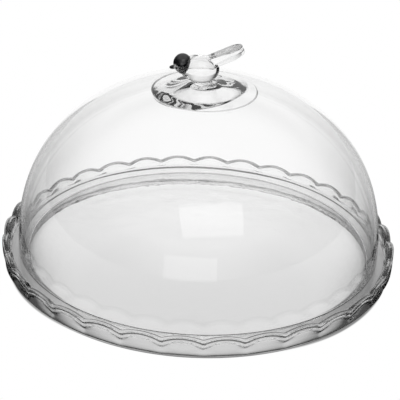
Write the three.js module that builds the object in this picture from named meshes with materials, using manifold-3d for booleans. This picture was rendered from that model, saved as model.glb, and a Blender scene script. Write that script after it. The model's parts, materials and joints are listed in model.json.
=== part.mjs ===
// Glass cake dome on a low scalloped plate, with a bird for a handle.
// Millimetres, +Z up. The origin is the centre of the plate's foot, on the table.
import * as THREE from 'three';
import { mergeVertices } from 'three/addons/utils/BufferGeometryUtils.js';
import Module from 'manifold-3d';

const wasm = await Module();
wasm.setup();

// Driving dimensions
const LOBE_COUNT = 32;            // arches round the plate's rim
const LOBE_START = 2.5;           // degrees from -Y to the first low point between two arches
const RIM_RADIUS = 160;           // crest of the rim
const RIM_LOW = 18;               // height of the rim between two arches
const ARCH_RISE = 3.6;            // how far an arch stands above its two ends
const LOBE_BULGE = 0.8;           // how far the wall swells outwards in the middle of a lobe
const LOBE_LOW = 2;               // height at which the lobes start to swell
const ARCH_LOW = 6;               // height at which the wall starts to follow the arches
const ARCH_FULL = 12;             // height from which it follows them fully
const FLOOR_TOP = 15;             // the surface that carries the cake and the dome
const FLOOR_BOTTOM = 9.5;
const FOOT_OUTER = 156;
const FOOT_INNER = 143;
const BEAD_DROP = 2;              // height of the rim's bead, with a groove under it
const FIT_GAP = 0.3;              // clearance where two pieces touch

const DOME_RADIUS = 149.4;        // outer radius at the seat
const DOME_HEIGHT = 142;          // seat to crown
const DOME_WALL = 3.4;            // wall at the seat
const CROWN_WALL = 4.4;           // wall beside the pad
const SIDE_POWER = 0.96;          // below 1 holds the sides upright for longer
const SHOULDER_POWER = 0.86;      // below 1 makes the shoulder fuller than a sphere's
const CROWN_FLAT = 12;            // radius of the small flat that carries the bird
const PAD_RADIUS = 41;            // thick pad of glass under the crown
const PAD_DROP = 10.3;            // crown to the pad's underside
const PAD_DISH = 4;               // hollow in the pad's underside
const PAD_TILT_X = 5;             // degrees, the pad's underside is higher at its +X side
const PAD_TILT_Y = 3;             // degrees, the pad's underside is higher at its -Y side
const PAD_EDGE = 3;               // width of the corner between the pad's side and the dome
const PAD_SKIN = 0.3;             // least thickness of the pad below the dome's inner curve

const SEAT = FLOOR_TOP + FIT_GAP;
const CROWN = SEAT + DOME_HEIGHT;
const RIM_SEGMENTS = LOBE_COUNT * 6;
const DOME_SEGMENTS = 64;

const clearGlass = () => new THREE.MeshStandardMaterial({
  color: 0xeef4f3, roughness: 0.04, metalness: 0, transparent: true, opacity: 0.4,
});
const blackGlass = () => new THREE.MeshStandardMaterial({
  color: 0x0b0b0d, roughness: 0.06, metalness: 0,
});

const degrees = (angle) => THREE.MathUtils.degToRad(angle);

function node(name, geometry, material) {
  const mesh = new THREE.Mesh(geometry, material);
  mesh.name = name;
  return mesh;
}

// A solid of revolution about Z from [radius, height] points, from the underside up
function turned(points, segments) {
  const outline = points.map(([radius, height]) => new THREE.Vector2(radius, height));
  return new THREE.LatheGeometry(outline, segments).rotateX(Math.PI / 2);
}

function moveVertices(geometry, move) {
  const position = geometry.getAttribute('position');
  const point = new THREE.Vector3();
  for (let i = 0; i < position.count; i += 1) {
    point.fromBufferAttribute(position, i);
    move(point);
    position.setXYZ(i, point.x, point.y, point.z);
  }
  return geometry;
}

function toSolid(geometry) {
  const bare = geometry.index ? geometry.clone() : mergeVertices(geometry);
  bare.deleteAttribute('normal');
  bare.deleteAttribute('uv');
  const merged = mergeVertices(bare, 1e-4);
  return new wasm.Manifold(new wasm.Mesh({
    numProp: 3,
    vertProperties: merged.getAttribute('position').array,
    triVerts: new Uint32Array(merged.index.array),
  }));
}

function toGeometry(solid) {
  const mesh = solid.getMesh();
  const geometry = new THREE.BufferGeometry();
  geometry.setAttribute('position', new THREE.BufferAttribute(mesh.vertProperties, 3));
  geometry.setIndex(new THREE.BufferAttribute(mesh.triVerts, 1));
  return geometry;
}

// 0 at the ends of a lobe and 1 in its middle
function archHeight(x, y) {
  const angle = Math.atan2(x, -y) - degrees(LOBE_START);
  const turn = THREE.MathUtils.euclideanModulo(angle * LOBE_COUNT / (2 * Math.PI), 1);
  return 4 * turn * (1 - turn);
}

// The plate: a floor on a foot ring, with a wall of bulging lobes that end in arches with a bead
function makePlate() {
  const bead = RIM_LOW - BEAD_DROP;
  const geometry = turned([
    [0, FLOOR_BOTTOM],
    [FOOT_INNER - 3, FLOOR_BOTTOM],
    [FOOT_INNER - 0.8, FLOOR_BOTTOM - 2],
    [FOOT_INNER, 1],
    [FOOT_INNER + 1, 0],
    [FOOT_OUTER - 0.6, 0],
    [FOOT_OUTER + 1.3, 1.9],
    [RIM_RADIUS - 0.2, 3.6],
    [RIM_RADIUS + 1.2, ARCH_LOW],
    [RIM_RADIUS + 1.6, ARCH_FULL],
    [RIM_RADIUS + 1.7, bead - 1.6],
    [RIM_RADIUS + 0.5, bead - 0.6],
    [RIM_RADIUS + 1.8, bead + 0.4],
    [RIM_RADIUS + 1.5, RIM_LOW - 0.3],
    [RIM_RADIUS + 0.6, RIM_LOW],
    [RIM_RADIUS - 1.4, RIM_LOW],
    [RIM_RADIUS - 2.6, RIM_LOW - 1],
    [RIM_RADIUS - 3.2, FLOOR_TOP + 0.6],
    [RIM_RADIUS - 5.5, FLOOR_TOP],
    [0, FLOOR_TOP],
  ], RIM_SEGMENTS);
  return moveVertices(geometry, (point) => {
    const radius = Math.hypot(point.x, point.y);
    const arch = archHeight(point.x, point.y);
    const onWall = THREE.MathUtils.smoothstep(radius, FOOT_OUTER, RIM_RADIUS - 2);
    const raised = THREE.MathUtils.smoothstep(point.z, ARCH_LOW, ARCH_FULL) * onWall;
    const swollen = THREE.MathUtils.smoothstep(point.z, LOBE_LOW, FLOOR_BOTTOM) * onWall;
    const wider = 1 + LOBE_BULGE * arch * swollen / Math.max(radius, 1);
    point.set(point.x * wider, point.y * wider, point.z + ARCH_RISE * arch * raised);
  });
}

// A point on the dome's outer curve (inset 0) or inner curve, from the seat (0) to the crown (1)
function domePoint(share, inset) {
  const angle = share * Math.PI / 2;
  const radius = (DOME_RADIUS - inset * DOME_WALL) * Math.cos(angle) ** SIDE_POWER;
  const rise = (DOME_HEIGHT - inset * CROWN_WALL) * Math.sin(angle) ** SHOULDER_POWER;
  return [radius, SEAT + rise];
}

// Height of the dome's inner surface at a radius, without the pad
function ceilingHeight(radius) {
  const angle = Math.acos((radius / (DOME_RADIUS - DOME_WALL)) ** (1 / SIDE_POWER));
  return SEAT + (DOME_HEIGHT - CROWN_WALL) * Math.sin(angle) ** SHOULDER_POWER;
}

// The dome: a thin bell, open below, with a thick pad of glass hanging under its crown
function makeDomeShell() {
  const steps = 15;
  const outer = [];
  const inner = [];
  for (let i = 0; i <= steps; i += 1) {
    const share = (i / steps) ** 0.95;
    const [outerRadius, outerHeight] = domePoint(share, 0);
    const [innerRadius, innerHeight] = domePoint(share, 1);
    if (outerRadius > CROWN_FLAT) outer.push([outerRadius, outerHeight]);
    if (innerRadius > PAD_RADIUS + PAD_EDGE) inner.push([innerRadius, innerHeight]);
  }
  const padBottom = CROWN - PAD_DROP;
  const padTop = ceilingHeight(PAD_RADIUS);
  const padShares = [0, 0.2, 0.35, 0.5, 0.65, 0.8, 1];
  const pad = padShares.map((share) => [share * PAD_RADIUS, padBottom]);
  const crown = [[CROWN_FLAT, CROWN], [0, CROWN]];
  const points = [...pad, [PAD_RADIUS, padTop], ...inner.reverse(), ...outer, ...crown];
  return moveVertices(turned(points, DOME_SEGMENTS), (point) => {
    const radius = Math.hypot(point.x, point.y);
    if (radius > PAD_RADIUS + 0.1 || point.z > padBottom + 0.1) return;
    const tilt = point.x * Math.tan(degrees(PAD_TILT_X)) - point.y * Math.tan(degrees(PAD_TILT_Y));
    const dish = PAD_DISH * (1 - THREE.MathUtils.smoothstep(radius, 0.2 * PAD_RADIUS, 0.8 * PAD_RADIUS));
    point.z = Math.min(padBottom + tilt + dish, ceilingHeight(radius) - PAD_SKIN);
  });
}

const BODY_CENTRE = new THREE.Vector3(-2.7, 0, CROWN + 12);
const BODY_RADII = [13.8, 10.6, 11.6];
const BREAST_CENTRE = new THREE.Vector3(-8, 0, CROWN + 10);
const BREAST_RADII = [10.5, 9, 8.6];
const HEAD_CENTRE = new THREE.Vector3(-18.8, 0, CROWN + 14.6);
const HEAD_RADII = [6.6, 6.8, 8.4];
const HEAD_PITCH = 10;

function ellipsoid(centre, [rx, ry, rz], pitch) {
  const geometry = new THREE.SphereGeometry(1, 28, 18).rotateX(Math.PI / 2);
  geometry.scale(rx, ry, rz).rotateY(degrees(pitch));
  return geometry.translate(centre.x, centre.y, centre.z);
}

// The round foot that is fused to the crown
function makeBirdFoot() {
  return turned([
    [0, CROWN + FIT_GAP],
    [10.6, CROWN + FIT_GAP],
    [10.9, CROWN + 1.3],
    [9.8, CROWN + 2.6],
    [7.6, CROWN + 5],
    [0, CROWN + 8],
  ], 32);
}

// The tail: a thick rounded paddle that lies flat, rises from the back and thins towards its tip
function makeBirdTail() {
  const length = 33;
  const rootHalf = 5.5;
  const tipHalf = 9;
  const rootThickness = 9;
  const tipThickness = 5.6;
  const rounding = 1.5;
  const outline = new THREE.Shape();
  outline.moveTo(0, -rootHalf);
  outline.lineTo(length - tipHalf, -tipHalf);
  outline.absarc(length - tipHalf, 0, tipHalf, -Math.PI / 2, Math.PI / 2, false);
  outline.lineTo(0, rootHalf);
  outline.closePath();
  const geometry = new THREE.ExtrudeGeometry(outline, {
    depth: tipThickness - 2 * rounding,
    bevelThickness: rounding,
    bevelSize: rounding,
    bevelOffset: -rounding,
    bevelSegments: 2,
    curveSegments: 10,
  });
  geometry.translate(0, 0, rounding - tipThickness / 2);
  moveVertices(geometry, (point) => {
    const thicker = THREE.MathUtils.lerp(rootThickness / tipThickness, 1, point.x / length);
    point.z *= thicker;
  });
  return geometry.rotateY(degrees(-26)).translate(1, 0, CROWN + 16.8);
}

function makeBeak() {
  const geometry = new THREE.ConeGeometry(2.6, 8, 16).rotateZ(degrees(90)).rotateY(degrees(-14));
  return geometry.translate(-25, 0, CROWN + 13.2);
}

// The head and beak are black glass, fused to the clear body
function makeBirdHead() {
  const skull = toSolid(ellipsoid(HEAD_CENTRE, HEAD_RADII, HEAD_PITCH));
  return toGeometry(skull.add(toSolid(makeBeak())));
}

// The clear part of the bird, hollowed where the head is fused on
function makeBirdBody() {
  const trunk = toSolid(ellipsoid(BODY_CENTRE, BODY_RADII, 0));
  const grownRadii = HEAD_RADII.map((radius) => radius + FIT_GAP);
  const headRoom = toSolid(ellipsoid(HEAD_CENTRE, grownRadii, HEAD_PITCH));
  const breast = toSolid(ellipsoid(BREAST_CENTRE, BREAST_RADII, 0));
  const whole = trunk.add(breast).add(toSolid(makeBirdFoot())).add(toSolid(makeBirdTail()));
  return toGeometry(whole.subtract(headRoom));
}

const cover = new THREE.Group();
cover.add(node('dome_shell', makeDomeShell(), clearGlass()));
cover.add(node('bird_body', makeBirdBody(), clearGlass()));
cover.add(node('bird_head', makeBirdHead(), blackGlass()));

const group = new THREE.Group();
group.add(node('plate', makePlate(), clearGlass()));
group.add(cover);

export default group;
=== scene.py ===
"""Looks for the glass cake dome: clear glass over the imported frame, on a plain white floor."""

import json
import math

import bmesh
import bpy
from mathutils import Matrix, Vector

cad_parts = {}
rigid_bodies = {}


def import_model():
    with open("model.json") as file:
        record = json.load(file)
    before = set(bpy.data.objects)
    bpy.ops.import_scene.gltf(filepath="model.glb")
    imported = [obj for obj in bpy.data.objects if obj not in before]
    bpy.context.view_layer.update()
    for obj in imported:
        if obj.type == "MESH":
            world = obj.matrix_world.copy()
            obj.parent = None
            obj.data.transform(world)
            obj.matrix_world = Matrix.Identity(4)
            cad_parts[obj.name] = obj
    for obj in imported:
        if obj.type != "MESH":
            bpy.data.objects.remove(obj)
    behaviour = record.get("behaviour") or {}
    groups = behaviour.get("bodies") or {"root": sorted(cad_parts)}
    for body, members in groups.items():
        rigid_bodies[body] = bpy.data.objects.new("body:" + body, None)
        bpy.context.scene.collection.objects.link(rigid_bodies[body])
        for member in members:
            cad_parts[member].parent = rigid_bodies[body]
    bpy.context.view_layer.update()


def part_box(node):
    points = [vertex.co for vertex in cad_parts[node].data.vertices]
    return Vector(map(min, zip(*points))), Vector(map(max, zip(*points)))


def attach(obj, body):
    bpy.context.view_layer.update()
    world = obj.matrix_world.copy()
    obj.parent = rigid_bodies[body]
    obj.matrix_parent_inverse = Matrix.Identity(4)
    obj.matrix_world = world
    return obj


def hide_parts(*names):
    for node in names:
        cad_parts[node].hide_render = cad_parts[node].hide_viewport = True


MM = 0.001

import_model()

# Driving dimensions of the plate, in millimetres
PLATE_TOP = (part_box("plate")[1] / MM).z
LOBE_COUNT = 32
LOBE_START = math.radians(2.5)
LOBE_BULGE = 0.8
LOBE_LOW = 2.0
LOBE_FULL = 12.5
CREASE_DEPTH = 1.7
CREASE_TOP = 14.0
ARCH_LOW = 6.0
ARCH_FULL = 12.0
ARCH_RISE = 3.6
GROOVE_SWAG = 1.0
RIM_LOW = PLATE_TOP - ARCH_RISE
RIM_RADIUS = 160.0
BEAD_LOW = RIM_LOW - 1.5
WALL_FULL = RIM_RADIUS - 2
FLOOR_TOP = 15.0
FLOOR_BOTTOM = 9.5
FOOT_OUTER = 156.0
FOOT_INNER = 143.0
FLOOR_EDGE = FOOT_INNER - 7

# Driving dimensions of the dome and its pad, in millimetres
DOME_LOW, DOME_HIGH = (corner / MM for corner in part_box("dome_shell"))
DOME_RADIUS = DOME_HIGH.x
SEAT = DOME_LOW.z
CROWN = DOME_HIGH.z
DOME_WALL = 3.4
CROWN_WALL = 4.4
CROWN_FLAT = 12.0
LIP = 1.2
LIP_FILLET = 0.7
SIDE_POWER = 0.96
SHOULDER_POWER = 0.86
PAD_RADIUS = 41.0
PAD_BOTTOM = 147.0
PAD_DISH = 4.0
PAD_DISH_EDGE = (0.2 * PAD_RADIUS, 0.8 * PAD_RADIUS)
PAD_COVER = 0.3
PAD_TILT_X = math.radians(5)
PAD_TILT_Y = math.radians(3)

# Driving dimensions of the bird, in millimetres
BIRD_LOW = CROWN + 0.3
TAIL_START = Vector((1, 0, CROWN + 16.8))
TAIL_RISE = math.radians(26)
TAIL_LENGTH = 31.5
TAIL_ROOT_HALF_WIDTH = 5.5
TAIL_TIP_RADIUS = 9.0
TAIL_ROOT_THICKNESS = 9.0
TAIL_TIP_THICKNESS = 5.8

# The bird's lumps: centre and radii in millimetres, and pitch in degrees
BELLY = ((-3.6, 0, CROWN + 12), (14.6, 10.8, 11.4), 0)
BREAST = ((-8.5, 0, CROWN + 11), (12, 9, 9), 14)
BACK = ((-5.5, 0, CROWN + 17.6), (11.5, 7.5, 6), 0)
HEAD = ((-18.4, 0, CROWN + 16.3), (7.3, 7.2, 8), 10)
THROAT = ((-18, 0, CROWN + 11.5), (4.6, 5, 4.2), 0)
BEAK = ((-25.5, 0, CROWN + 12.6), (3.2, 1.7, 1.7), -8)

# The black glass: its ripples and the pale patch on each cheek, in millimetres
RIPPLE_SIZE = 3.5
RIPPLE_DEPTH = 0.6
CHEEK = Vector((24, 5, CROWN + 13.5))
PATCH_OUTER = 4
PATCH_INNER = 2
PATCH_BREAKS = (0.4, 0.55)
BLACK = (0.004, 0.004, 0.005, 1)
PALE = (0.7, 0.7, 0.7, 1)

# The downward share of a face's normal, from where the painted shade on an underside starts to where it
# is full
DOWNWARD = (0.35, 0.85)

# How fine the meshes are: pieces of a turn or of a curve, and longest steps in millimetres
LOBE_SEGMENTS = 20
WALL_STEP = 0.65
DOME_SEGMENTS = 288
DOME_STEPS = 90
DOME_CROWDING = 0.9
PAD_STEP = 1
BIRD_FOOT_SEGMENTS = 96
TAIL_STEPS = 24

# Each thin dark line round the glass is painted shade: how dark it is from 0 to 1, then its radius,
# height and width in millimetres
PAINTED_GROOVE_LINE = (0.96, RIM_RADIUS + 0.5, BEAD_LOW - 0.5, 2.2)
PAINTED_CREST_LINE = (0.93, RIM_RADIUS - 0.5, RIM_LOW, 1.6)
PAINTED_FOOT_LINE = (0.96, FOOT_OUTER + 1, 1, 2.2)
PAINTED_LIP_LINE = (0.85, DOME_RADIUS, SEAT, 0.8)

# The painted shadow of the plate on the light table: how much it dims the table, and the spans in metres
# over which each part of it grows
SIDE_DIMMING = 0.56
FRONT_DIMMING = 0.2
INSIDE_DIMMING = 0.06
INSIDE_FRONT_DIMMING = 0.2
SHADE_MIDDLE_X = -0.015
SIDE_SHADE_X = (0.02, 0.15)
SIDE_SHADE_Y = (0.11, 0.0)
FRONT_SHADE_Y = (0.1, -0.12)
OVERHANG = 0.003
OVERHANG_X = (0.06, 0.13)
INSIDE_EDGE = ((FOOT_INNER + 3) * MM, (FOOT_INNER - 6) * MM)
OUTSIDE_EDGE = (FOOT_OUTER * MM, (FOOT_OUTER - 2) * MM)
FLOOR_SIZE = 30
FLOOR_DROP = 0.0003

# The dark table that only reflections see, in metres
TABLE_INNER = (FOOT_OUTER + 2) * MM
TABLE_OUTER = 20
TABLE_HEIGHT = 0.0005
TABLE_SEGMENTS = 96
STRIP_EDGE_X = (0.17, 0.08)
STRIP_START_Y = (-0.02, 0.12)
STRIP_SPREAD = 0.3

# The room: brightness of its parts, and the spans of a direction's Z and X over which they grow
ROOM = 0.05
CEILING = 0.95
CEILING_Z = (0.3, 0.85)
SWEEP = 0.85
SWEEP_Z = (0.6, 0.4)
SWEEP_X = (0.95, 0.15)

# The point that the lamps face, in metres
LAMP_TARGET = Vector((0, 0, 0.05))

# The camera: distances in metres, and its lens and sensor in millimetres
CAMERA_ELEVATION = math.radians(28.32)
CAMERA_AIM_UP = math.radians(1.5)
CAMERA_ROLL = math.radians(2.4)
CAMERA_DISTANCE = 1.2123
CAMERA_TARGET = Vector((0, 0, 0.0178))
CAMERA_LENS = 130.4
CAMERA_SENSOR = 36


# ---------------------------------------------------------------- outlines
def smoothstep(value, low, high):
    """0 below low, 1 above high, and a smooth step between them."""
    share = min(max((value - low) / (high - low), 0.0), 1.0)
    return share * share * (3 - 2 * share)


def turns(count):
    """Equally spaced angles of a full turn."""
    return [2 * math.pi * i / count for i in range(count)]


def rounded(corners, step=math.radians(9)):
    """An outline through (radius, height, fillet) corners, each fillet an arc."""
    points = [Vector(corners[0][:2])]
    for before, corner, after in zip(corners, corners[1:], corners[2:]):
        here = Vector(corner[:2])
        back = (Vector(before[:2]) - here).normalized()
        ahead = (Vector(after[:2]) - here).normalized()
        fillet = corner[2]
        half = back.angle(ahead) / 2
        if fillet <= 0 or half > math.radians(89.5):
            points.append(here)
            continue
        reach = fillet / math.tan(half)
        centre = here + (back + ahead).normalized() * fillet / math.sin(half)
        start = here + back * reach - centre
        end = here + ahead * reach - centre
        sweep = start.angle(end)
        turn = 1 if start.cross(end) > 0 else -1
        count = max(2, math.ceil(sweep / step))
        for i in range(count + 1):
            spoke = start.copy()
            spoke.rotate(Matrix.Rotation(turn * sweep * i / count, 2))
            points.append(centre + spoke)
    points.append(Vector(corners[-1][:2]))
    return points


def refined(points, longest):
    """The same outline with no step longer than the one given."""
    fine = [points[0]]
    for a, b in zip(points, points[1:]):
        count = max(1, math.ceil((b - a).length / longest))
        fine.extend(a.lerp(b, i / count) for i in range(1, count + 1))
    return fine


def painted_line_shade(point, painted_lines):
    """How dark the painted shade makes a point of an outline: full within a quarter of a line's width, 0
    beyond 0.6 of it.
    """
    dark = 0
    for amount, radius, height, width in painted_lines:
        away = (point - Vector((radius, height))).length
        dark = max(dark, amount * (1 - smoothstep(away, width / 4, width * 0.6)))
    return dark


# ---------------------------------------------------------------- meshes
def finished(name, mesh):
    """A smooth-shaded object made from a bmesh."""
    data = bpy.data.meshes.new(name)
    mesh.to_mesh(data)
    mesh.free()
    data.polygons.foreach_set("use_smooth", [True] * len(data.polygons))
    piece = bpy.data.objects.new(name, data)
    bpy.context.scene.collection.objects.link(piece)
    return piece


def turned(name, outline, segments, shape=None, painted_lines=()):
    """A closed solid of revolution from an outline that starts and ends on the axis, with the painted
    shade of its dark rings kept on each vertex.
    """
    mesh = bmesh.new()
    painted_shades = mesh.verts.layers.float.new("painted_shade")
    first = mesh.verts.new((0, 0, outline[0].y * MM))
    last = mesh.verts.new((0, 0, outline[-1].y * MM))
    rings = []
    for point in outline[1:-1]:
        painted_shade = painted_line_shade(point, painted_lines)
        ring = []
        for angle in turns(segments):
            place = Vector((point.x * math.sin(angle), -point.x * math.cos(angle), point.y))
            if shape:
                place = shape(place, point.x, angle)
            vert = mesh.verts.new(place * MM)
            vert[painted_shades] = painted_shade
            ring.append(vert)
        rings.append(ring)
    for i in range(segments):
        j = (i + 1) % segments
        mesh.faces.new((first, rings[0][i], rings[0][j]))
        mesh.faces.new((last, rings[-1][j], rings[-1][i]))
        for low, high in zip(rings, rings[1:]):
            mesh.faces.new((low[i], high[i], high[j], low[j]))
    bmesh.ops.recalc_face_normals(mesh, faces=mesh.faces)
    return finished(name, mesh)


def ellipsoid(centre, radii, pitch):
    """A closed lump in millimetres, its pitch in degrees about Y."""
    mesh = bmesh.new()
    bmesh.ops.create_icosphere(mesh, subdivisions=5, radius=1)
    turn = Matrix.Rotation(math.radians(pitch), 4, "Y")
    stretch = Matrix.Diagonal((*(radius * MM for radius in radii), 1))
    mesh.transform(Matrix.Translation(Vector(centre) * MM) @ turn @ stretch)
    return finished("lump", mesh)


def joined(name, parts, voxel, smooth):
    """Overlapping closed meshes melted into one smooth solid, with voxels in millimetres."""
    for part in bpy.data.objects:
        part.select_set(part in parts)
    bpy.context.view_layer.objects.active = parts[0]
    bpy.ops.object.join()
    piece = parts[0]
    piece.name = name
    melt = piece.modifiers.new("melt", "REMESH")
    melt.mode = "VOXEL"
    melt.voxel_size = voxel * MM
    melt.use_smooth_shade = True
    soften = piece.modifiers.new("soften", "SMOOTH")
    soften.factor = 0.5
    soften.iterations = smooth
    for step in ("melt", "soften"):
        bpy.ops.object.modifier_apply(modifier=step)
    return piece


def shade_undersides(piece, above, amount):
    """Paint shade on the faces that look down, from a height in millimetres upwards."""
    data = piece.data
    painted_shades = data.attributes.new("painted_shade", "FLOAT", "POINT")
    for vert, normal, painted_shade in zip(data.vertices, data.vertex_normals, painted_shades.data):
        down = smoothstep(-normal.vector.z, *DOWNWARD)
        painted_shade.value = amount * down * smoothstep(vert.co.z / MM, above, above + 1)
    return piece


# ---------------------------------------------------------------- nodes
def feed(tree, node, inputs):
    """Set a node's inputs, each to a value or to another node's output."""
    for name, value in inputs.items():
        if isinstance(value, bpy.types.NodeSocket):
            tree.links.new(value, node.inputs[name])
        else:
            node.inputs[name].default_value = value


def new_node(tree, kind, inputs=None, **settings):
    """A shader node of a kind, with its settings and inputs."""
    node = tree.nodes.new(kind)
    for name, value in settings.items():
        setattr(node, name, value)
    feed(tree, node, inputs or {})
    return node


def maths(tree, operation, *values):
    """The output of a maths node; each value is a number or another node's output."""
    return new_node(tree, "ShaderNodeMath", dict(enumerate(values)), operation=operation).outputs[0]


def vector_maths(tree, operation, *values):
    """A vector maths node, which has a Vector and a Value output."""
    return new_node(tree, "ShaderNodeVectorMath", dict(enumerate(values)), operation=operation)


def faded(tree, source, span, level=1):
    """A level reached smoothly as the source goes from the span's start to its end."""
    low, high = span
    inputs = {"Value": source, "From Min": low, "From Max": high, "To Min": 0, "To Max": level}
    fade = new_node(tree, "ShaderNodeMapRange", inputs, interpolation_type="SMOOTHSTEP")
    return fade.outputs["Result"]


def split(tree, vector):
    """The X, Y and Z outputs of a vector."""
    return new_node(tree, "ShaderNodeSeparateXYZ", {"Vector": vector}).outputs


def new_material(name):
    """A material with its node tree and its principled shader."""
    material = bpy.data.materials.new(name)
    material.use_nodes = True
    return material, material.node_tree, material.node_tree.nodes["Principled BSDF"]


# ---------------------------------------------------------------- materials
def glass(name, wave_size, wave_depth, density, edge_shade, shade_ends_by, shade_ends_over):
    """Clear glass with faint waves and painted shade where it is seen edge-on.

    The painted edge shade is (amount, edge-on share where it starts, share where it is full), and it
    fades again over a span of the height in metres or of the slope, where 1 is a face that looks up.
    """
    material, tree, shader = new_material(name)
    place = new_node(tree, "ShaderNodeTexCoord")
    waves = new_node(tree, "ShaderNodeTexNoise", {
        "Vector": place.outputs["Object"], "Scale": 1 / (wave_size * MM), "Detail": 2,
    })
    bump = new_node(tree, "ShaderNodeBump", {
        "Height": waves.outputs["Fac"], "Distance": wave_depth * MM, "Strength": 1,
    })
    # The painted shade kept on the mesh: dark rings on the plate and dome, and the bird's undersides
    painted_shade = new_node(tree, "ShaderNodeAttribute", attribute_name="painted_shade").outputs["Fac"]
    facing = new_node(tree, "ShaderNodeLayerWeight").outputs["Facing"]
    amount, start, full = edge_shade
    # Painted shade where the glass is seen edge-on, fading out higher up or on faces that look up
    side_on = faded(tree, facing, (start, full), amount)
    upward = split(tree, place.outputs["Object" if shade_ends_by == "height" else "Normal"])["Z"]
    still_shaded = faded(tree, upward, reversed(shade_ends_over))
    dark = maths(tree, "MAXIMUM", painted_shade, maths(tree, "MULTIPLY", side_on, still_shaded))
    feed(tree, shader, {
        "Transmission Weight": 1, "IOR": 1.52, "Roughness": 0,
        "Normal": bump.outputs["Normal"], "Base Color": maths(tree, "SUBTRACT", 1, dark),
    })
    body = new_node(tree, "ShaderNodeVolumeAbsorption", {"Color": (0, 0, 0, 1), "Density": density})
    tree.links.new(body.outputs["Volume"], tree.nodes["Material Output"].inputs["Volume"])
    return material


def black_glass():
    """Glossy black glass, rippled, with a broken pale patch on each cheek."""
    material, tree, shader = new_material("bird black glass")
    place = new_node(tree, "ShaderNodeTexCoord").outputs["Object"]
    noise = new_node(tree, "ShaderNodeTexNoise", {"Vector": place, "Scale": 1 / (RIPPLE_SIZE * MM)})
    ripples = noise.outputs["Fac"]
    bump = new_node(tree, "ShaderNodeBump", {"Height": ripples, "Distance": RIPPLE_DEPTH * MM})
    either_side = vector_maths(tree, "ABSOLUTE", place).outputs["Vector"]
    reach = vector_maths(tree, "DISTANCE", either_side, CHEEK * MM).outputs["Value"]
    patch = faded(tree, reach, (PATCH_OUTER * MM, PATCH_INNER * MM))
    broken = maths(tree, "MULTIPLY", patch, faded(tree, ripples, PATCH_BREAKS))
    tones = {"A": BLACK, "B": PALE, "Factor": broken}
    tone = new_node(tree, "ShaderNodeMix", tones, data_type="RGBA")
    feed(tree, shader, {
        "Roughness": 0.05, "Coat Weight": 0.3,
        "Normal": bump.outputs["Normal"], "Base Color": tone.outputs["Result"],
    })
    return material


def white_floor():
    """A light table with a painted shadow under the plate: dimmer a little inside the foot ring, and more
    under the ring.
    """
    material, tree, shader = new_material("floor")
    place = new_node(tree, "ShaderNodeNewGeometry").outputs["Position"]
    across = split(tree, place)
    distance = vector_maths(tree, "LENGTH", place).outputs["Value"]
    aside = maths(tree, "ABSOLUTE", maths(tree, "ADD", across["X"], -SHADE_MIDDLE_X))
    ahead = faded(tree, across["Y"], FRONT_SHADE_Y)
    side_shade = faded(tree, aside, SIDE_SHADE_X, SIDE_DIMMING)
    side = maths(tree, "MULTIPLY", side_shade, faded(tree, across["Y"], SIDE_SHADE_Y))
    under_foot = maths(tree, "ADD", side, maths(tree, "MULTIPLY", ahead, FRONT_DIMMING))
    inside = maths(tree, "MULTIPLY_ADD", ahead, INSIDE_FRONT_DIMMING, INSIDE_DIMMING)
    in_ring = faded(tree, distance, INSIDE_EDGE)
    from_foot = maths(tree, "SUBTRACT", distance, faded(tree, aside, OVERHANG_X, OVERHANG))
    on_foot = faded(tree, from_foot, OUTSIDE_EDGE)
    step = maths(tree, "SUBTRACT", inside, under_foot)
    dimming = maths(tree, "MULTIPLY_ADD", step, in_ring, under_foot)
    # The painted shadow taken off the table's glow
    glow = maths(tree, "SUBTRACT", 1, maths(tree, "MULTIPLY", dimming, on_foot))
    feed(tree, shader, {
        "Base Color": (0, 0, 0, 1), "Specular IOR Level": 0,
        "Emission Color": (1, 1, 1, 1), "Emission Strength": glow,
    })
    return material


def dark_table():
    """A dark matt table with a white strip that widens behind the object."""
    material, tree, shader = new_material("dark table")
    across = split(tree, new_node(tree, "ShaderNodeNewGeometry").outputs["Position"])
    aside = maths(tree, "ABSOLUTE", across["X"])
    spread = maths(tree, "MULTIPLY_ADD", across["Y"], -STRIP_SPREAD, aside)
    strip = faded(tree, spread, STRIP_EDGE_X)
    glow = maths(tree, "MULTIPLY", strip, faded(tree, across["Y"], STRIP_START_Y))
    feed(tree, shader, {
        "Base Color": (0.01, 0.01, 0.01, 1), "Specular IOR Level": 0,
        "Emission Color": (1, 1, 1, 1), "Emission Strength": glow,
    })
    return material


# ---------------------------------------------------------------- plate
def arch_height(angle):
    """0 at the ends of a lobe and 1 in its middle."""
    turn = ((angle - LOBE_START) * LOBE_COUNT / (2 * math.pi)) % 1
    return 4 * turn * (1 - turn)


def shape_plate(place, radius, angle):
    """The turned plate with creased lobes, with arches on the rim and a groove that dips between them."""
    arch = arch_height(angle)
    on_wall = smoothstep(radius, FOOT_OUTER, WALL_FULL)
    swollen = smoothstep(place.z, LOBE_LOW, LOBE_FULL) * on_wall
    creased = 1 - smoothstep(place.z, FLOOR_BOTTOM, CREASE_TOP)
    wider = 1 + swollen * (LOBE_BULGE * arch - CREASE_DEPTH * (1 - arch) * creased) / radius
    raised = smoothstep(place.z, ARCH_LOW, ARCH_FULL) * on_wall
    outside = smoothstep(radius, RIM_RADIUS, RIM_RADIUS + 0.3)
    near_groove = smoothstep(place.z, ARCH_LOW, BEAD_LOW - 2)
    near_groove *= 1 - smoothstep(place.z, BEAD_LOW, RIM_LOW)
    place.x *= wider
    place.y *= wider
    place.z += ARCH_RISE * arch * raised - GROOVE_SWAG * (1 - arch) * outside * near_groove
    return place


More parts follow.
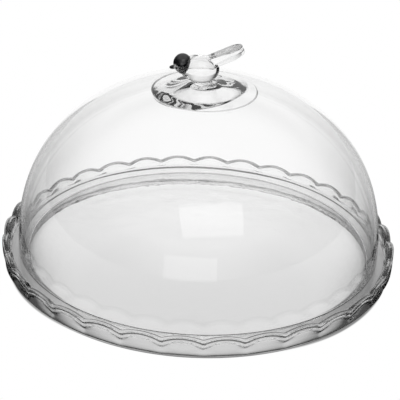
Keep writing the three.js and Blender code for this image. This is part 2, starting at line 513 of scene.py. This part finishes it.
def make_plate():
    """The floor, the foot ring, the round wall, the groove and the bead."""
    outline = rounded([
        (0, FLOOR_BOTTOM, 0),
        (FOOT_INNER - 0.6, FLOOR_BOTTOM, 2.5),
        (FOOT_INNER, 0, 1),
        (FOOT_OUTER, 0, 0.8),
        (FOOT_OUTER + 1, 1.4, 0.4),
        (RIM_RADIUS + 1.6, 6.5, 11),
        (RIM_RADIUS + 1.8, BEAD_LOW - 1.6, 0.6),
        (RIM_RADIUS + 0.3, BEAD_LOW - 0.6, 0.4),
        (RIM_RADIUS + 1.8, BEAD_LOW + 0.4, 0.4),
        (RIM_RADIUS + 1.6, RIM_LOW, 0.6),
        (RIM_RADIUS - 2.4, RIM_LOW, 1.4),
        (RIM_RADIUS - 2.8, BEAD_LOW, 1),
        (RIM_RADIUS - 5, FLOOR_TOP, 2),
        (0, FLOOR_TOP, 0),
    ])
    wall = [point for point in outline if point.x > FLOOR_EDGE]
    fine = [outline[0], *refined(wall, WALL_STEP), outline[-1]]
    # Painted shade under the bead, along the crest and at the foot's outer edge
    painted_lines = [PAINTED_GROOVE_LINE, PAINTED_CREST_LINE, PAINTED_FOOT_LINE]
    return turned("plate_glass", fine, LOBE_COUNT * LOBE_SEGMENTS, shape_plate, painted_lines)


# ---------------------------------------------------------------- dome
def dome_point(share, inset):
    """A point of the dome's outer (inset 0) or inner (inset 1) curve, from seat to crown."""
    angle = share * math.pi / 2
    radius = (DOME_RADIUS - inset * DOME_WALL) * math.cos(angle) ** SIDE_POWER
    rise = (CROWN - SEAT - inset * CROWN_WALL) * math.sin(angle) ** SHOULDER_POWER
    return Vector((max(radius, 0), SEAT + rise))


def inner_height(radius):
    """Height of the dome's inner surface at a radius, without the pad."""
    angle = math.acos(min(radius / (DOME_RADIUS - DOME_WALL), 1) ** (1 / SIDE_POWER))
    return SEAT + (CROWN - SEAT - CROWN_WALL) * math.sin(angle) ** SHOULDER_POWER


def shape_dome(place, radius, angle):
    """The pad's underside tilted and hollowed, and kept below the dome's inner surface."""
    ceiling = inner_height(PAD_RADIUS)
    if radius < PAD_RADIUS + 0.1 and place.z < ceiling:
        share = (place.z - PAD_BOTTOM) / (ceiling - PAD_BOTTOM)
        tilt = place.x * math.tan(PAD_TILT_X) - place.y * math.tan(PAD_TILT_Y)
        dish = PAD_DISH * (1 - smoothstep(radius, *PAD_DISH_EDGE))
        low = min(PAD_BOTTOM + tilt + dish, inner_height(radius) - PAD_COVER)
        place.z = low + share * (ceiling - low)
    return place


def make_dome():
    """The bell with its rounded lip, and the thick pad under its crown."""
    shares = [(i / DOME_STEPS) ** DOME_CROWDING for i in range(1, DOME_STEPS)]
    outer = [dome_point(share, 0) for share in shares]
    inner = [dome_point(share, 1) for share in shares]
    outer = [point for point in outer if point.x > CROWN_FLAT and point.y > SEAT + 3 * LIP]
    inner = [point for point in inner if point.x > PAD_RADIUS + 3]
    edge = rounded([
        (DOME_RADIUS - DOME_WALL, SEAT + 2 * LIP, 0),
        (DOME_RADIUS - DOME_WALL, SEAT, LIP_FILLET),
        (DOME_RADIUS, SEAT, LIP_FILLET),
        (DOME_RADIUS, SEAT + 2 * LIP, 0),
    ])
    pad = refined(rounded([
        (0, PAD_BOTTOM, 0),
        (PAD_RADIUS, PAD_BOTTOM, 1.2),
        (PAD_RADIUS, inner_height(PAD_RADIUS), 0.8),
        (inner[-1].x, inner[-1].y, 0),
    ]), PAD_STEP)
    crown = [Vector((radius, CROWN)) for radius in (CROWN_FLAT, CROWN_FLAT / 2, 0)]
    inner = [point for point in inner if point.y > SEAT + 3 * LIP]
    outline = [*pad[:-1], *reversed(inner), *edge, *outer, *crown]
    # Painted shade along the lip
    return turned("dome_glass", outline, DOME_SEGMENTS, shape_dome, [PAINTED_LIP_LINE])


# ---------------------------------------------------------------- bird
def make_tail():
    """A thick rounded paddle that lies flat, rises from the back and grows thinner towards its tip."""
    mesh = bmesh.new()
    outline = [(0, -TAIL_ROOT_HALF_WIDTH)]
    for i in range(TAIL_STEPS + 1):
        angle = math.pi * (i / TAIL_STEPS - 0.5)
        along = TAIL_LENGTH - TAIL_TIP_RADIUS + TAIL_TIP_RADIUS * math.cos(angle)
        outline.append((along, TAIL_TIP_RADIUS * math.sin(angle)))
    outline.append((0, TAIL_ROOT_HALF_WIDTH))
    low, high = [], []
    for x, y in outline:
        half = (TAIL_ROOT_THICKNESS + (TAIL_TIP_THICKNESS - TAIL_ROOT_THICKNESS) * x / TAIL_LENGTH) / 2
        low.append(mesh.verts.new((x * MM, y * MM, -half * MM)))
        high.append(mesh.verts.new((x * MM, y * MM, half * MM)))
    mesh.faces.new(low[::-1])
    mesh.faces.new(high)
    for i in range(len(outline)):
        j = (i + 1) % len(outline)
        mesh.faces.new((low[i], low[j], high[j], high[i]))
    bmesh.ops.recalc_face_normals(mesh, faces=mesh.faces)
    mesh.transform(Matrix.Translation(TAIL_START * MM) @ Matrix.Rotation(-TAIL_RISE, 4, "Y"))
    return finished("tail", mesh)


def make_bird_body():
    """Belly, breast, back, tail and the round foot, melted together."""
    foot = turned("foot", rounded([
        (0, BIRD_LOW, 0),
        (10.5, BIRD_LOW, 0.6),
        (10.2, CROWN + 1.7, 0.6),
        (5, CROWN + 2, 0.5),
        (0, CROWN + 4, 0),
    ]), BIRD_FOOT_SEGMENTS)
    lumps = [ellipsoid(*lump) for lump in (BELLY, BREAST, BACK)]
    piece = joined("bird_glass", [*lumps, make_tail(), foot], voxel=0.4, smooth=9)
    # Painted shade under the belly and the tail
    return shade_undersides(piece, above=CROWN + 2, amount=0.85)


def make_bird_head():
    """Head, throat and beak, melted together."""
    lumps = [ellipsoid(*lump) for lump in (HEAD, THROAT, BEAK)]
    return joined("bird_black_glass", lumps, voxel=0.3, smooth=10)


# ---------------------------------------------------------------- studio
def make_floor():
    """The white table that the object stands on."""
    mesh = bmesh.new()
    bmesh.ops.create_grid(mesh, x_segments=1, y_segments=1, size=FLOOR_SIZE)
    floor = finished("floor", mesh)
    floor.location.z = -FLOOR_DROP
    floor.data.materials.append(white_floor())


def make_dark_table():
    """The dark table round the plate, which only reflections see."""
    mesh = bmesh.new()
    rings = []
    for radius in (TABLE_INNER, TABLE_OUTER):
        rings.append([
            mesh.verts.new((radius * math.sin(angle), radius * math.cos(angle), TABLE_HEIGHT))
            for angle in turns(TABLE_SEGMENTS)
        ])
    inner, outer = rings
    for i in range(TABLE_SEGMENTS):
        j = (i + 1) % TABLE_SEGMENTS
        mesh.faces.new((inner[j], inner[i], outer[i], outer[j]))
    table = finished("dark_table", mesh)
    table.data.materials.append(dark_table())
    table.visible_camera = False
    table.visible_transmission = False
    table.visible_diffuse = False
    table.visible_shadow = False


def set_world():
    """A dim room with a soft ceiling light and a pale sweep low in front and behind."""
    world = bpy.data.worlds.new("studio")
    bpy.context.scene.world = world
    world.use_nodes = True
    tree = world.node_tree
    towards = split(tree, new_node(tree, "ShaderNodeTexCoord").outputs["Generated"])
    ceiling = faded(tree, towards["Z"], CEILING_Z, CEILING)
    sweep_low = faded(tree, towards["Z"], SWEEP_Z, SWEEP)
    sweep_aside = faded(tree, maths(tree, "ABSOLUTE", towards["X"]), SWEEP_X)
    sweep = maths(tree, "MULTIPLY_ADD", sweep_low, sweep_aside, ROOM)
    glow = maths(tree, "ADD", ceiling, sweep)
    feed(tree, tree.nodes["Background"], {"Color": (1, 1, 1, 1), "Strength": glow})


def softbox(name, azimuth, elevation, distance, size, radiance):
    """A soft rectangular lamp aimed at the object, its azimuth counted from +Y towards +X."""
    around, up = math.radians(azimuth), math.radians(elevation)
    level = math.cos(up)
    place = distance * Vector((level * math.sin(around), level * math.cos(around), math.sin(up)))
    data = bpy.data.lights.new(name, "AREA")
    data.shape = "RECTANGLE"
    data.size, data.size_y = size
    data.energy = radiance * math.pi * size[0] * size[1]
    lamp = bpy.data.objects.new(name, data)
    bpy.context.scene.collection.objects.link(lamp)
    lamp.location = place
    lamp.rotation_euler = (LAMP_TARGET - place).to_track_quat("-Z", "Y").to_euler()


def make_camera():
    """A long lens, 28 degrees above the table, rolled a little."""
    data = bpy.data.cameras.new("camera")
    data.sensor_width = CAMERA_SENSOR
    data.lens = CAMERA_LENS
    data.clip_end = 200
    camera = bpy.data.objects.new("camera", data)
    bpy.context.scene.collection.objects.link(camera)
    away = Vector((0, -math.cos(CAMERA_ELEVATION), math.sin(CAMERA_ELEVATION)))
    camera.location = CAMERA_TARGET + away * CAMERA_DISTANCE
    look = CAMERA_ELEVATION - CAMERA_AIM_UP
    ahead = Vector((0, math.cos(look), -math.sin(look)))
    right = Vector((1, 0, 0))
    tilted_right = right * math.cos(CAMERA_ROLL) + right.cross(ahead) * math.sin(CAMERA_ROLL)
    tilted_up = tilted_right.cross(ahead)
    camera.rotation_euler = Matrix((tilted_right, tilted_up, -ahead)).transposed().to_euler()
    bpy.context.scene.camera = camera


def set_light_paths():
    """A plain view transform, and enough bounces for light to pass through every wall of glass."""
    scene = bpy.context.scene
    scene.view_settings.view_transform = "Standard"
    scene.cycles.max_bounces = 32
    scene.cycles.transmission_bounces = 32
    scene.cycles.glossy_bounces = 8
    scene.cycles.sample_clamp_indirect = 0


def place_piece(piece, material, body, nodes):
    """Give a piece its material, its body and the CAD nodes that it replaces."""
    piece.data.materials.clear()
    piece.data.materials.append(material)
    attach(piece, body)
    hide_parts(*nodes)


make_camera()
make_floor()
make_dark_table()
set_world()
softbox("high softbox", azimuth=170, elevation=44, distance=2.0, size=(1.28, 0.84), radiance=0.9)
softbox("low softbox", azimuth=184, elevation=9, distance=2.0, size=(1.1, 0.6), radiance=0.6)
set_light_paths()

dome_glass = glass("dome glass", wave_size=30, wave_depth=0.02, density=4,
                   edge_shade=(0.85, 0.3, 0.85), shade_ends_by="height", shade_ends_over=(0.033, 0.088))
plate_glass = glass("plate glass", wave_size=14, wave_depth=0.09, density=6,
                    edge_shade=(0.98, 0.21, 0.62), shade_ends_by="slope", shade_ends_over=(0.5, 0.95))
bird_glass = glass("bird glass", wave_size=6, wave_depth=0.03, density=2,
                   edge_shade=(0.95, 0.35, 0.75), shade_ends_by="slope", shade_ends_over=(0, 0.4))
place_piece(make_plate(), plate_glass, "base", ["plate"])
place_piece(make_dome(), dome_glass, "cover", ["dome_shell"])
place_piece(make_bird_body(), bird_glass, "cover", ["bird_body"])
place_piece(make_bird_head(), black_glass(), "cover", ["bird_head"])
